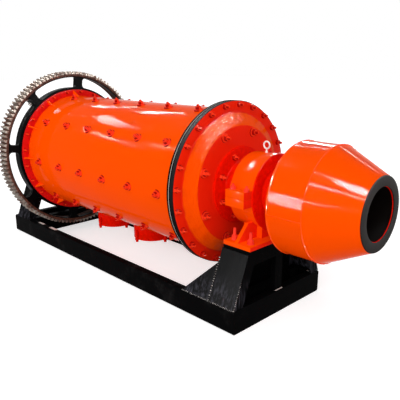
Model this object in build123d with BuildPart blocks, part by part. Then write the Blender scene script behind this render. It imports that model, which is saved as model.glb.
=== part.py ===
from build123d import *
import os
from math import atan2, copysign, cos, pi, radians, sin, tan

# Ball mill with a drum feeder: a shell on two hollow trunnions, turned by a
# girth gear, in split bearings on a welded channel frame. +X runs along the mill
# towards the feeder and +Z is up. The origin is on the floor in the middle.

# Base frame
base_width = 850.0
rail_height = 144.0
rail_flange = 52.0
channel_wall = 9.0
bend_radius = 14.0

# Room left along the mill and under the gear
feed_bearing_gap = 94.0
discharge_bearing_gap = 30.0
discharge_pedestal_inset = 40.0
gear_floor_gap = 82.8

# Shell and its end flanges
shell_length = 1800.0
shell_radius = 458.0
shell_wall = 10.0
flange_rise = 54.0
feed_flange_thickness = 27.0
gear_flange_thickness = 18.0
gusset_count = 12
gusset_height = 46.0
gusset_length = 78.0
gusset_thickness = 10.0
gusset_first_angle = 1.5

# Head castings
head_flange_thickness = 26.0
head_step_inset = 17.0
head_slope_width = 73.0
head_rise = 52.0
head_wall = 30.0
head_opening_radius = 200.0
casting_chamfer = 8.0

# Trunnions
trunnion_flange_radius = 239.0
trunnion_flange_thickness = 16.0
journal_radius = 150.0
trunnion_bore_radius = 112.0

# Girth gear
gear_teeth = 114
gear_reach = 191.8
gear_width = 113.0
gear_rim_thickness = 13.5
gear_web_thickness = 34.0
gear_web_recess = 8.0
gear_rib_depth = 28.0
gear_collar_depth = 46.0
gear_collar_gap = 3.0
gear_hub_margin = 2.0
slot_margin = 8.0
slot_height = 83.0
slot_corner_radius = 28.0
spoke_count = 8
spoke_width = 58.0
spoke_first_angle = 38.5
joint_flange_gap = 14.0
pressure_angle = 20.0

# Bearings
housing_radius = 224.0
housing_length = 166.0
housing_station = 56.0
bearing_clearance = 0.3
cover_lip = 5.0
back_cover_inset = 2.0
cover_thickness = 10.0
cover_gap = 5.0
ear_reach = 296.0
ear_height = 47.0
ear_length = 136.0
cap_flat_angle = 58.0
sole_thickness = 25.0
sole_length = 200.0
saddle_width = 250.0
rib_thickness = 24.0
rib_station = 93.0
rib_top_reach = 205.0
rib_top_drop = 154.0
eye_radius = 25.5
eye_bore_radius = 17.0
eye_thickness = 10.0
eye_stem = 19.0
eye_stem_radius = 6.0

# Pedestals
leg_rail_inset = 3.0
leg_thickness = 16.0
leg_inset = 4.0
pedestal_drop = 280.0
pedestal_top_thickness = 20.0
wing_reach = 424.0
wing_drop = 102.0
strip_width = 62.0
strip_thickness = 12.0
header_depth = 70.0
post_width = 68.0
post_depth = 36.0
post_wall = 8.0

# Drum feeder
feeder_reach = 588.0
feeder_radius = 323.0
feeder_wall = 8.0
feeder_back_station = 113.0
feeder_drum_length = 222.0
mouth_radius = 198.0
mouth_bore_radius = 144.0
mouth_thickness = 5.0

# Discharge spout
spout_reach = 92.0
spout_lip_radius = 185.0
spout_lip_thickness = 14.0

# Ports on the shell
port_radius = 140.0
port_height = 92.0
port_wall = 10.0
port_lid_thickness = 16.0
port_angle = 180.0
port_first_station = 1211.0
port_spacing = 480.0
port_count = 2

# Radii worked out from the shell outwards
flange_radius = shell_radius + flange_rise
head_step_radius = shell_radius - head_step_inset
head_face_radius = head_step_radius - head_slope_width
gear_pitch_radius = shell_radius + gear_reach
gear_module = 2 * gear_pitch_radius / gear_teeth
gear_tip_radius = gear_pitch_radius + gear_module
gear_root_radius = gear_pitch_radius - 1.25 * gear_module
gear_rim_radius = gear_root_radius - gear_rim_thickness
slot_outer_radius = gear_rim_radius - slot_margin
slot_inner_radius = slot_outer_radius - slot_height
gear_hub_radius = slot_inner_radius - gear_hub_margin
front_cover_radius = housing_radius + cover_lip
back_cover_radius = housing_radius - back_cover_inset
port_reach = shell_radius + port_height

# Heights
axis_height = gear_floor_gap + gear_tip_radius
pedestal_height = axis_height - pedestal_drop
sole_top = pedestal_height + sole_thickness
wing_apex_height = pedestal_height - wing_drop
rib_top_height = axis_height - rib_top_drop

# Lengths that add up along the mill
bearing_back_station = housing_station + housing_length + cover_thickness
head_reach = head_rise + trunnion_flange_thickness
feed_head_station = bearing_back_station + feed_bearing_gap + head_reach
discharge_head_station = (
    discharge_pedestal_inset + bearing_back_station + discharge_bearing_gap + head_reach
)
mill_length = shell_length + gear_web_thickness + 2 * head_flange_thickness
base_length = feed_head_station + mill_length + discharge_head_station
overall_length = base_length + feeder_reach + spout_reach

# Places along +X
feed_end = overall_length / 2 - feeder_reach
discharge_end = feed_end - base_length
head_face_x = feed_end - feed_head_station
shell_feed_x = head_face_x - head_flange_thickness
shell_gear_x = shell_feed_x - shell_length
web_back_x = shell_gear_x - gear_web_thickness
discharge_head_face_x = web_back_x - head_flange_thickness
feeder_back_x = feed_end + feeder_back_station
mouth_x = feed_end + feeder_reach
spout_x = discharge_end - spout_reach
port_stations = [port_first_station + port * port_spacing for port in range(port_count)]
mill_axis = Axis((0, 0, axis_height), (1, 0, 0))


def section(x, turn=0.0):
    """Plane across the mill axis at x: its first axis is +Y, turned towards +Z."""
    across = (0, cos(radians(turn)), sin(radians(turn)))
    return Plane(origin=(x, 0, axis_height), x_dir=across, z_dir=(1, 0, 0))


def outward(turn):
    """Direction away from the mill axis, turned from straight up to the near side."""
    return Vector(0, -sin(radians(turn)), cos(radians(turn)))


def lengthwise(turn=0.0):
    """Plane through the mill axis: its first axis is +X and its second points outward."""
    along = Vector(1, 0, 0)
    return Plane(origin=(0, 0, axis_height), x_dir=along, z_dir=along.cross(outward(turn)))


def port_plane(port_station):
    """Plane across a port's own axis, on the mill axis, facing out through the shell."""
    return Plane(
        origin=(feed_end - port_station, 0, axis_height),
        x_dir=(1, 0, 0),
        z_dir=outward(port_angle),
    )


def finish(piece, name):
    """Label a piece and write it as its own node."""
    piece.part.label = name
    export_step(piece.part, f"parts/{name}.step")


os.makedirs("parts", exist_ok=True)

# Side rails: channels with their backs outwards, between the end beams
with BuildPart() as near_rail:
    with BuildSketch(Plane.YZ.offset(discharge_end + channel_wall)) as rail_section:
        with Locations((-base_width / 2, 0)):
            Rectangle(rail_flange, rail_height, align=(Align.MIN, Align.MIN))
        outer_corner = rail_section.vertices().group_by(Axis.Y)[0].sort_by(Axis.Z)[0]
        fillet(outer_corner, radius=bend_radius)
        with Locations((-base_width / 2 + channel_wall, channel_wall)):
            Rectangle(
                rail_flange - channel_wall,
                rail_height - 2 * channel_wall,
                align=(Align.MIN, Align.MIN),
                mode=Mode.SUBTRACT,
            )
    extrude(amount=base_length - 2 * channel_wall)
finish(near_rail, "near_rail")

with BuildPart() as far_rail:
    mirror(near_rail.part, about=Plane.XZ)
finish(far_rail, "far_rail")

# Cross beams: channels fitted inside the rails, under the two ends of each pedestal
beam_length = base_width - 2 * rail_flange
with BuildPart() as feed_inner_beam:
    with BuildSketch(Plane.XZ.offset(-beam_length / 2)):
        with Locations((feed_end - sole_length, 0)):
            Rectangle(rail_flange, rail_height, align=(Align.MIN, Align.MIN))
        with Locations((feed_end - sole_length + channel_wall, channel_wall)):
            Rectangle(
                rail_flange - channel_wall,
                rail_height - 2 * channel_wall,
                align=(Align.MIN, Align.MIN),
                mode=Mode.SUBTRACT,
            )
    extrude(amount=beam_length)
finish(feed_inner_beam, "feed_inner_beam")

# End beams: the same channel, with its back plate carried across the rail ends
with BuildPart() as feed_end_beam:
    pedestal_middle = Plane.YZ.offset(feed_end - sole_length / 2)
    mirror(feed_inner_beam.part, about=pedestal_middle)
    with BuildSketch(Plane.YZ.offset(feed_end)) as back_plate:
        Rectangle(base_width, rail_height, align=(Align.CENTER, Align.MIN))
        fillet(back_plate.vertices().group_by(Axis.Z)[0], radius=bend_radius)
    extrude(amount=-channel_wall)
finish(feed_end_beam, "feed_end_beam")

# Pedestal legs: sloping plates with a strip down each side, open towards the middle
leg_foot_reach = base_width / 2 - leg_rail_inset
leg_lean = atan2(leg_foot_reach - ear_reach, pedestal_height - rail_height)
leg_slant = (pedestal_height - rail_height) / cos(leg_lean)
wing_slant = (wing_apex_height - rail_height) / cos(leg_lean)
header_top = pedestal_height - pedestal_top_thickness
leg_plane = Plane(
    origin=(feed_end, -leg_foot_reach, rail_height),
    x_dir=(1, 0, 0),
    z_dir=(0, -cos(leg_lean), sin(leg_lean)),
)


def leg_inside(height):
    """How far the inner face of a leg's sloping plate stands from the middle."""
    return leg_foot_reach - leg_thickness / cos(leg_lean) - (height - rail_height) * tan(leg_lean)


def near_leg(wing_foot):
    """Leg under the feed bearing; its wing runs down the rail as far as wing_foot."""
    with BuildPart() as leg:
        with BuildSketch(leg_plane):
            with BuildLine():
                Polyline(
                    (-leg_inset, -leg_thickness),
                    (-leg_inset, leg_slant),
                    (-sole_length, leg_slant),
                    (-sole_length, wing_slant),
                    (-wing_foot, 0),
                    (-wing_foot, -leg_thickness),
                    close=True,
                )
            make_face()
        extrude(amount=-leg_thickness)
        split(bisect_by=Plane.XY.offset(rail_height), keep=Keep.TOP)
        split(bisect_by=Plane.XY.offset(header_top), keep=Keep.BOTTOM)
        for strip_x in (feed_end - leg_inset, feed_end - sole_length + strip_thickness):
            with BuildSketch(Plane.YZ.offset(strip_x)):
                with BuildLine():
                    Polyline(
                        (-leg_inside(rail_height), rail_height),
                        (-leg_inside(rail_height) + strip_width, rail_height),
                        (-leg_inside(header_top) + strip_width, header_top),
                        (-leg_inside(header_top), header_top),
                        close=True,
                    )
                make_face()
            extrude(amount=-strip_thickness)
    return leg


feed_near_leg = near_leg(wing_reach)
finish(feed_near_leg, "feed_near_leg")

with BuildPart() as feed_far_leg:
    mirror(feed_near_leg.part, about=Plane.XZ)
finish(feed_far_leg, "feed_far_leg")

short_header_foot = header_top - header_depth


def pedestal_headers(inner_foot):
    """Plates between a pedestal's legs: the one on the inner side reaches down to inner_foot."""
    with BuildPart() as headers:
        for header_x, header_foot in (
            (feed_end - leg_inset, short_header_foot),
            (feed_end - sole_length + strip_thickness, inner_foot),
        ):
            with BuildSketch(Plane.YZ.offset(header_x)):
                foot = leg_inside(header_foot) - strip_width
                head = leg_inside(header_top) - strip_width
                with BuildLine():
                    Polyline(
                        (-foot, header_foot),
                        (foot, header_foot),
                        (head, header_top),
                        (-head, header_top),
                        close=True,
                    )
                make_face()
            extrude(amount=-strip_thickness)
    return headers


# The feed pedestal's inner side is closed down to the rails
feed_pedestal_headers = pedestal_headers(rail_height)
finish(feed_pedestal_headers, "feed_pedestal_headers")

# Pedestal post: an upright channel behind the short header
with BuildPart() as feed_pedestal_post:
    with BuildSketch(Plane.XY.offset(rail_height)):
        with Locations((feed_end - leg_inset - strip_thickness, 0)):
            Rectangle(post_depth, post_width, align=(Align.MAX, Align.CENTER))
        with Locations((feed_end - leg_inset - strip_thickness - post_wall, 0)):
            Rectangle(
                post_depth - post_wall,
                post_width - 2 * post_wall,
                align=(Align.MAX, Align.CENTER),
                mode=Mode.SUBTRACT,
            )
    extrude(amount=header_top - rail_height)
finish(feed_pedestal_post, "feed_pedestal_post")

with BuildPart() as feed_pedestal_top:
    with BuildSketch(Plane.XY.offset(pedestal_height)):
        with Locations((feed_end, 0)):
            Rectangle(sole_length, 2 * ear_reach, align=(Align.MAX, Align.CENTER))
    extrude(amount=-pedestal_top_thickness)
finish(feed_pedestal_top, "feed_pedestal_top")

# Bearing base: sole, saddle, side ribs, lower half of the housing and its ears
housing_front_x = feed_end - housing_station
housing_back_x = housing_front_x - housing_length
housing_middle_x = housing_front_x - housing_length / 2
ear_back_x = housing_front_x - ear_length
rib_back_x = feed_end - rib_station - rib_thickness
seat_radius = journal_radius + bearing_clearance
with BuildPart() as feed_bearing_base:
    with BuildSketch(section(housing_back_x)):
        Circle(housing_radius)
    extrude(amount=housing_length)
    with BuildSketch(section(ear_back_x)):
        Rectangle(2 * ear_reach, 2 * ear_height)
    extrude(amount=ear_length)
    split(bisect_by=Plane.XY.offset(axis_height), keep=Keep.BOTTOM)
    with BuildSketch(section(ear_back_x)):
        with Locations((0, sole_top - axis_height)):
            Rectangle(saddle_width, housing_radius / 2, align=(Align.CENTER, Align.MIN))
    extrude(amount=ear_length)
    with BuildSketch(Plane.XY.offset(pedestal_height)):
        with Locations((feed_end, 0)):
            Rectangle(sole_length, 2 * ear_reach, align=(Align.MAX, Align.CENTER))
    extrude(amount=sole_thickness)
    with BuildSketch(Plane.YZ.offset(rib_back_x)):
        with BuildLine():
            Polyline(
                (-ear_reach, sole_top),
                (ear_reach, sole_top),
                (rib_top_reach, rib_top_height),
                (-rib_top_reach, rib_top_height),
                close=True,
            )
        make_face()
    extrude(amount=rib_thickness)
    with BuildSketch(section(housing_back_x)):
        Circle(seat_radius)
    extrude(amount=housing_length, mode=Mode.SUBTRACT)
finish(feed_bearing_base, "feed_bearing_base")

# Bearing cap: an arch that folds into flat, nearly upright sides above the ears
with BuildPart() as feed_bearing_cap:
    with BuildSketch(section(housing_back_x)):
        with BuildLine():
            arch = CenterArc((0, 0), housing_radius, 90 - cap_flat_angle, 2 * cap_flat_angle)
            Polyline(
                arch @ 1,
                (-housing_radius, ear_height),
                (-housing_radius, 0),
                (housing_radius, 0),
                (housing_radius, ear_height),
                arch @ 0,
            )
        make_face()
    extrude(amount=housing_length)
    with BuildSketch(section(ear_back_x)):
        Rectangle(2 * ear_reach, ear_height, align=(Align.CENTER, Align.MIN))
    extrude(amount=ear_length)
    with BuildSketch(section(housing_back_x)):
        Circle(seat_radius)
    extrude(amount=housing_length, mode=Mode.SUBTRACT)
finish(feed_bearing_cap, "feed_bearing_cap")

# Bearing covers: a disc on each face of the housing, the back one flush with it
with BuildPart() as feed_bearing_covers:
    for cover_x, cover_radius in (
        (housing_front_x, front_cover_radius),
        (housing_back_x - cover_thickness, back_cover_radius),
    ):
        with BuildSketch(section(cover_x)):
            Circle(cover_radius)
            Circle(journal_radius + cover_gap, mode=Mode.SUBTRACT)
        extrude(amount=cover_thickness)
finish(feed_bearing_covers, "feed_bearing_covers")

# Lifting eye on the cap
with BuildPart() as feed_lifting_eye:
    eye_height = axis_height + housing_radius + eye_stem + eye_radius
    with BuildSketch(Plane.XZ.offset(-eye_thickness / 2)):
        with Locations((housing_middle_x, eye_height)):
            Circle(eye_radius)
            Circle(eye_bore_radius, mode=Mode.SUBTRACT)
    extrude(amount=eye_thickness)
    with BuildSketch(Plane.XY.offset(axis_height + housing_radius)):
        with Locations((housing_middle_x, 0)):
            Circle(eye_stem_radius)
    extrude(amount=eye_stem + (eye_radius - eye_bore_radius) / 2)
finish(feed_lifting_eye, "feed_lifting_eye")

# The discharge end carries the same pieces, mirrored, with legs that clear the gear
# and a pedestal that stays open under both headers
with BuildPart() as discharge_end_beam:
    mirror(feed_end_beam.part, about=Plane.YZ.offset(feed_end - base_length / 2))
finish(discharge_end_beam, "discharge_end_beam")

pedestal_mirror = Plane.YZ.offset(feed_end - (base_length - discharge_pedestal_inset) / 2)
plain_near_leg = near_leg(sole_length)
with BuildPart() as plain_far_leg:
    mirror(plain_near_leg.part, about=Plane.XZ)
feed_end_pieces = {
    "inner_beam": feed_inner_beam,
    "near_leg": plain_near_leg,
    "far_leg": plain_far_leg,
    "pedestal_headers": pedestal_headers(short_header_foot),
    "pedestal_post": feed_pedestal_post,
    "pedestal_top": feed_pedestal_top,
    "bearing_base": feed_bearing_base,
    "bearing_cap": feed_bearing_cap,
    "bearing_covers": feed_bearing_covers,
    "lifting_eye": feed_lifting_eye,
}
for piece_name, piece in feed_end_pieces.items():
    with BuildPart() as twin:
        mirror(piece.part, about=pedestal_mirror)
    finish(twin, f"discharge_{piece_name}")

# Shell tube between its two end flanges
with BuildPart() as shell:
    with BuildSketch(section(shell_gear_x + gear_flange_thickness)):
        Circle(shell_radius)
        Circle(shell_radius - shell_wall, mode=Mode.SUBTRACT)
    extrude(amount=shell_length - gear_flange_thickness - feed_flange_thickness)
    for port_station in port_stations:
        with BuildSketch(port_plane(port_station)):
            Circle(port_radius - port_wall)
        extrude(amount=shell_radius + port_wall, mode=Mode.SUBTRACT)
finish(shell, "shell")

with BuildPart() as feed_flange:
    with BuildSketch(section(shell_feed_x - feed_flange_thickness)):
        Circle(flange_radius)
        Circle(shell_radius - shell_wall, mode=Mode.SUBTRACT)
    extrude(amount=feed_flange_thickness)
finish(feed_flange, "feed_flange")

with BuildPart() as gear_flange:
    with BuildSketch(section(shell_gear_x)):
        Circle(flange_radius)
        Circle(shell_radius - shell_wall, mode=Mode.SUBTRACT)
    extrude(amount=gear_flange_thickness)
finish(gear_flange, "gear_flange")

# Gussets between the shell and the gear flange
with BuildPart() as shell_gussets:
    for gusset in range(gusset_count):
        turn = gusset_first_angle + gusset * 360 / gusset_count
        with BuildSketch(lengthwise(turn)):
            with BuildLine():
                foot_x = shell_gear_x + gear_flange_thickness
                foot_r = shell_radius + bearing_clearance
                Polyline(
                    (foot_x, foot_r),
                    (foot_x, foot_r + gusset_height),
                    (foot_x + gusset_length, foot_r),
                    close=True,
                )
            make_face()
        extrude(amount=gusset_thickness / 2, both=True)
finish(shell_gussets, "shell_gussets")

# Head castings: a bolting flange, a sloping step and a flat face round the trunnion
with BuildPart() as feed_head:
    with BuildSketch(lengthwise()) as head_profile:
        with BuildLine():
            Polyline(
                (shell_feed_x, flange_radius),
                (head_face_x, flange_radius),
                (head_face_x, head_step_radius),
                (head_face_x + head_rise, head_face_radius),
                (head_face_x + head_rise, head_opening_radius),
                (head_face_x + head_rise - head_wall, head_opening_radius),
                (head_face_x + head_rise - head_wall, head_face_radius - head_wall / 2),
                (shell_feed_x, head_step_radius - head_wall),
                close=True,
            )
        make_face()
        face_edge = head_profile.vertices().group_by(Axis.X)[-1].sort_by(Axis.Z)[-1]
        chamfer(face_edge, length=casting_chamfer)
    revolve(axis=mill_axis)
finish(feed_head, "feed_head")

with BuildPart() as discharge_head:
    mirror(feed_head.part, about=Plane.YZ.offset((head_face_x + discharge_head_face_x) / 2))
finish(discharge_head, "discharge_head")


def trunnion(face_x, end_x):
    """Hollow journal with a flange on the head's face, from face_x out to end_x."""
    flange_x = face_x + copysign(trunnion_flange_thickness, end_x - face_x)
    with BuildPart() as body:
        with BuildSketch(lengthwise()):
            with BuildLine():
                Polyline(
                    (face_x, trunnion_bore_radius),
                    (face_x, trunnion_flange_radius),
                    (flange_x, trunnion_flange_radius),
                    (flange_x, journal_radius),
                    (end_x, journal_radius),
                    (end_x, trunnion_bore_radius),
                    close=True,
                )
            make_face()
        revolve(axis=mill_axis)
    return body


feed_trunnion = trunnion(head_face_x + head_rise, feeder_back_x)
finish(feed_trunnion, "feed_trunnion")
discharge_trunnion = trunnion(discharge_head_face_x - head_rise, spout_x)
finish(discharge_trunnion, "discharge_trunnion")

# Lip round the discharge end of the hollow trunnion
with BuildPart() as discharge_lip:
    with BuildSketch(section(spout_x)):
        Circle(spout_lip_radius)
        Circle(journal_radius + bearing_clearance, mode=Mode.SUBTRACT)
    extrude(amount=spout_lip_thickness)
finish(discharge_lip, "discharge_lip")

# Girth gear outline: straight-flanked teeth from a formula, starting at a joint gap
tooth_pitch = 2 * pi / gear_teeth
flank_turn = tan(radians(pressure_angle)) / gear_pitch_radius
gear_outline = []
for tooth in range(gear_teeth):
    middle = (tooth + 0.5) * tooth_pitch
    for side in (-1, 1):
        radii = (gear_root_radius, gear_tip_radius)
        for radius in radii if side < 0 else reversed(radii):
            half_angle = tooth_pitch / 4 - (radius - gear_pitch_radius) * flank_turn
            angle = middle + side * half_angle
            gear_outline.append((radius * cos(angle), radius * sin(angle)))

joint_turn = 90 + spoke_first_angle
gear_back_x = shell_gear_x - gear_width
rim_middle_radius = (gear_rim_radius + gear_root_radius) / 2
collar_radius = flange_radius + gear_collar_gap
joint_foot = flange_radius + joint_flange_gap
spoke_reach = rim_middle_radius - joint_foot
spoke_middle = (rim_middle_radius + joint_foot) / 2
gear_plane = section(gear_back_x, joint_turn)
web_plane = section(web_back_x, joint_turn)
with BuildPart() as girth_gear:
    with BuildSketch(gear_plane):
        with BuildLine():
            Polyline(*gear_outline, close=True)
        make_face()
        Circle(gear_rim_radius, mode=Mode.SUBTRACT)
    extrude(amount=gear_width)
    # Web with its slots, a thicker hub over the shell's flange, and a collar behind it
    with BuildSketch(web_plane):
        Circle(rim_middle_radius)
        Circle(shell_radius - shell_wall, mode=Mode.SUBTRACT)
    extrude(amount=gear_web_thickness - gear_web_recess)
    with BuildSketch(web_plane) as slots:
        Circle(slot_outer_radius)
        Circle(slot_inner_radius, mode=Mode.SUBTRACT)
        with PolarLocations(spoke_middle, spoke_count):
            Rectangle(spoke_reach, spoke_width, mode=Mode.SUBTRACT)
        fillet(slots.vertices(), radius=slot_corner_radius)
    extrude(amount=gear_web_thickness, mode=Mode.SUBTRACT)
    with BuildSketch(web_plane):
        Circle(gear_hub_radius)
        Circle(shell_radius - shell_wall, mode=Mode.SUBTRACT)
    extrude(amount=gear_web_thickness)
    with BuildSketch(web_plane):
        Circle(gear_hub_radius)
        Circle(collar_radius, mode=Mode.SUBTRACT)
    extrude(amount=-gear_collar_depth)
    # Ribs behind the spokes, and the two deeper ones that carry the joint
    with BuildSketch(web_plane):
        with PolarLocations(spoke_middle, spoke_count):
            Rectangle(spoke_reach, spoke_width)
    extrude(amount=-gear_rib_depth)
    with BuildSketch(gear_plane):
        with PolarLocations(spoke_middle, 2):
            Rectangle(spoke_reach, spoke_width)
    extrude(amount=gear_width)

# The gear is cast in two halves, bolted together through the flanges of two spokes,
# that meet in the gap between two teeth
joint_plane = Plane(gear_plane.origin, x_dir=(1, 0, 0), z_dir=gear_plane.y_dir)
for half_name, kept in (("gear_upper_half", Keep.BOTTOM), ("gear_lower_half", Keep.TOP)):
    with BuildPart() as gear_half:
        add(girth_gear.part)
        split(bisect_by=joint_plane, keep=kept)
    finish(gear_half, half_name)

# Drum feeder: back plate, drum, cone and mouth ring
with BuildPart() as feeder_back:
    with BuildSketch(section(feeder_back_x)):
        Circle(feeder_radius)
        Circle(trunnion_bore_radius, mode=Mode.SUBTRACT)
    extrude(amount=feeder_wall)
finish(feeder_back, "feeder_back")

feeder_drum_x = feeder_back_x + feeder_wall
cone_x = feeder_back_x + feeder_drum_length
with BuildPart() as feeder_drum:
    with BuildSketch(section(feeder_drum_x)):
        Circle(feeder_radius)
        Circle(feeder_radius - feeder_wall, mode=Mode.SUBTRACT)
    extrude(amount=cone_x - feeder_drum_x)
finish(feeder_drum, "feeder_drum")

mouth_back_x = mouth_x - mouth_thickness
with BuildPart() as feeder_cone:
    with BuildSketch(lengthwise()):
        cone_slope = (feeder_radius - mouth_radius) / (mouth_x - cone_x)
        cone_end_radius = mouth_radius + cone_slope * mouth_thickness
        with BuildLine():
            Polyline(
                (cone_x, feeder_radius),
                (mouth_back_x, cone_end_radius),
                (mouth_back_x, cone_end_radius - feeder_wall),
                (cone_x, feeder_radius - feeder_wall),
                close=True,
            )
        make_face()
    revolve(axis=mill_axis)
finish(feeder_cone, "feeder_cone")

with BuildPart() as feeder_mouth:
    with BuildSketch(lengthwise()):
        with BuildLine():
            Polyline(
                (mouth_back_x, mouth_bore_radius),
                (mouth_back_x, cone_end_radius),
                (mouth_x, mouth_radius),
                (mouth_x, mouth_bore_radius),
                close=True,
            )
        make_face()
    revolve(axis=mill_axis)
finish(feeder_mouth, "feeder_mouth")

# Ports under the shell: a short neck with a lid
for number, port_station in enumerate(port_stations, start=1):
    lid_foot = port_reach - port_lid_thickness
    with BuildPart() as port_neck:
        with BuildSketch(port_plane(port_station)):
            Circle(port_radius)
            Circle(port_radius - port_wall, mode=Mode.SUBTRACT)
        extrude(amount=lid_foot)
        with BuildSketch(section(feed_end - port_station - port_radius)):
            Circle(shell_radius + bearing_clearance)
        extrude(amount=2 * port_radius, mode=Mode.SUBTRACT)
    finish(port_neck, f"port_{number}_neck")
    with BuildPart() as port_lid:
        with BuildSketch(port_plane(port_station).offset(lid_foot)):
            Circle(port_radius)
        extrude(amount=port_lid_thickness)
    finish(port_lid, f"port_{number}_lid")
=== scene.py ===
from math import cos, pi, radians, sin, tau

import bmesh
import bpy
from mathutils import Matrix, Vector, noise


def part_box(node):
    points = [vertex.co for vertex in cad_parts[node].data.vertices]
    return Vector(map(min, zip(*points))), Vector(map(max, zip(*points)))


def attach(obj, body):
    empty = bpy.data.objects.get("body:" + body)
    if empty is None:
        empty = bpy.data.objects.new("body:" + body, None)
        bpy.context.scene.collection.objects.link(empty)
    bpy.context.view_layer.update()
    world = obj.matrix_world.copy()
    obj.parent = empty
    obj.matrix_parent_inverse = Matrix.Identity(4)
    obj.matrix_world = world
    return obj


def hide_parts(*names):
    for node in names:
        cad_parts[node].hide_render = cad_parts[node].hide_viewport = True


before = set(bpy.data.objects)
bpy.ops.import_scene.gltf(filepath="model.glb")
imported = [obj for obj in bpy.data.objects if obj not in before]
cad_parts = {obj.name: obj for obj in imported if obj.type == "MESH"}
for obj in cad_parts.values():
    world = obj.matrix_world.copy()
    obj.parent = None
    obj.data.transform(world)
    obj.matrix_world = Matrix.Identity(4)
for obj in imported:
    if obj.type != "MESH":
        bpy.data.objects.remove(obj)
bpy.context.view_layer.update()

bl_info = {
    "name": "Ball mill",
    "version": (1, 0, 0),
    "blender": (4, 5, 0),
    "location": "3D View > Sidebar > Ball mill",
    "description": "Dresses the ball mill's frame with its castings, bolts, welds and paint",
    "category": "Object",
}

mill_height = sum(corner.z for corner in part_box("feed_trunnion")) / 2
shell_low, shell_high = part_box("shell")
shell_radius = (shell_high.y - shell_low.y) / 2

# Edges that turn by less are shaded smooth, and those that turn by more are bevelled
smooth_under, soften_over = radians(32.0), radians(38.0)


def outer_radius(node):
    """Largest distance of a turned CAD node from the mill axis."""
    low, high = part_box(node)
    return (high.y - low.y) / 2


def ends(node, way):
    """Where a CAD node starts and ends along the mill axis, going the given way."""
    low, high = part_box(node)
    return (low.x, high.x) if way > 0 else (high.x, low.x)


# Sizes and colours


def length(label, about, metres):
    return bpy.props.FloatProperty(name=label, description=about, default=metres, unit="LENGTH")


def angle(label, about, degrees):
    return bpy.props.FloatProperty(name=label, description=about, default=radians(degrees), subtype="ANGLE")


def number(label, about, value):
    return bpy.props.IntProperty(name=label, description=about, default=value)


def tone(label, about, value):
    return bpy.props.FloatVectorProperty(name=label, description=about, default=value, subtype="COLOR")


class MillSizes(bpy.types.PropertyGroup):
    """Sizes of the pieces that dress the frame."""

    head_step_radius: length("Head step", "Radius of the head's inner ring", 0.441)
    head_face_radius: length("Head face", "Radius of the head's flat face", 0.368)
    head_wall: length("Head wall", "Thickness of the head casting", 0.03)
    head_flange_thickness: length("Head flange", "Thickness of the head's bolting ring", 0.026)
    head_opening_radius: length("Head opening", "Radius of the hole in the head", 0.2)
    cast_lump: length("Cast lumps", "Depth of the waves in the castings", 0.0035)
    slope_rows: number("Slope rows", "Rows of points down the slope of a head", 11)
    trunnion_flange_thickness: length("Trunnion flange", "Thickness of the trunnion flanges", 0.016)
    journal_radius: length("Journal", "Radius of the trunnions", 0.15)
    bore_radius: length("Bore", "Radius of the passage through the trunnions", 0.112)
    cap_fold_turn: angle("Cap fold", "Turn from the top to where a bearing cap folds", 58.0)
    gear_rim_radius: length("Gear rim", "Inner radius of the gear's rim", 0.622)
    gear_root_radius: length("Tooth roots", "Radius at the roots of the gear's teeth", 0.636)
    joint_turn: angle("Gear joint", "Turn of the gear's joint from the top", 38.5)
    joint_width: length("Joint width", "Thickness of the gear's two joint flanges", 0.058)
    eye_wire: length("Eye", "Radius of the bar of a lifting eye", 0.0045)
    shell_wall: length("Shell wall", "Thickness of the shell", 0.01)
    edge_break: length("Edges", "Rounding of turned edges", 0.002)
    head_bolt_reach: length("Head bolts", "Reach of the bolts round a head", 0.488)
    gear_bolt_reach: length("Gear bolts", "Reach of the bolts round the gear's flange", 0.495)
    face_bolt_reach: length("Face bolts", "Reach of the bolts on a head's face", 0.335)
    trunnion_bolt_reach: length("Trunnion bolts", "Reach of the bolts round a trunnion's flange", 0.196)
    cap_bolt_side: length("Cap bolts", "Distance of the cap bolts from the middle", 0.262)
    ear_height: length("Ears", "Height of a cap's ears above the axis", 0.047)
    sole_bolt_side: length("Sole bolts", "Distance of the sole bolts from the middle", 0.245)
    sole_thickness: length("Sole", "Thickness of a bearing's sole plate", 0.025)
    mouth_bore_radius: length("Mouth", "Radius of the feeder's mouth", 0.144)
    lining: length("Lining", "Thickness of the lining inside the feeder", 0.002)
    sheet_wall: length("Sheet", "Thickness of the feeder's sheet", 0.008)
    sheet_wave: length("Sheet waves", "Depth of the waves in the rolled sheet", 0.0012)
    weld_radius: length("Weld", "Radius of a weld bead", 0.0045)
    liner_rows: number("Liner rows", "Rows of liner bolts round the shell", 9)
    liner_first_turn: angle("First liner row", "Turn of the first row from the top", 13.5)


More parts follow.
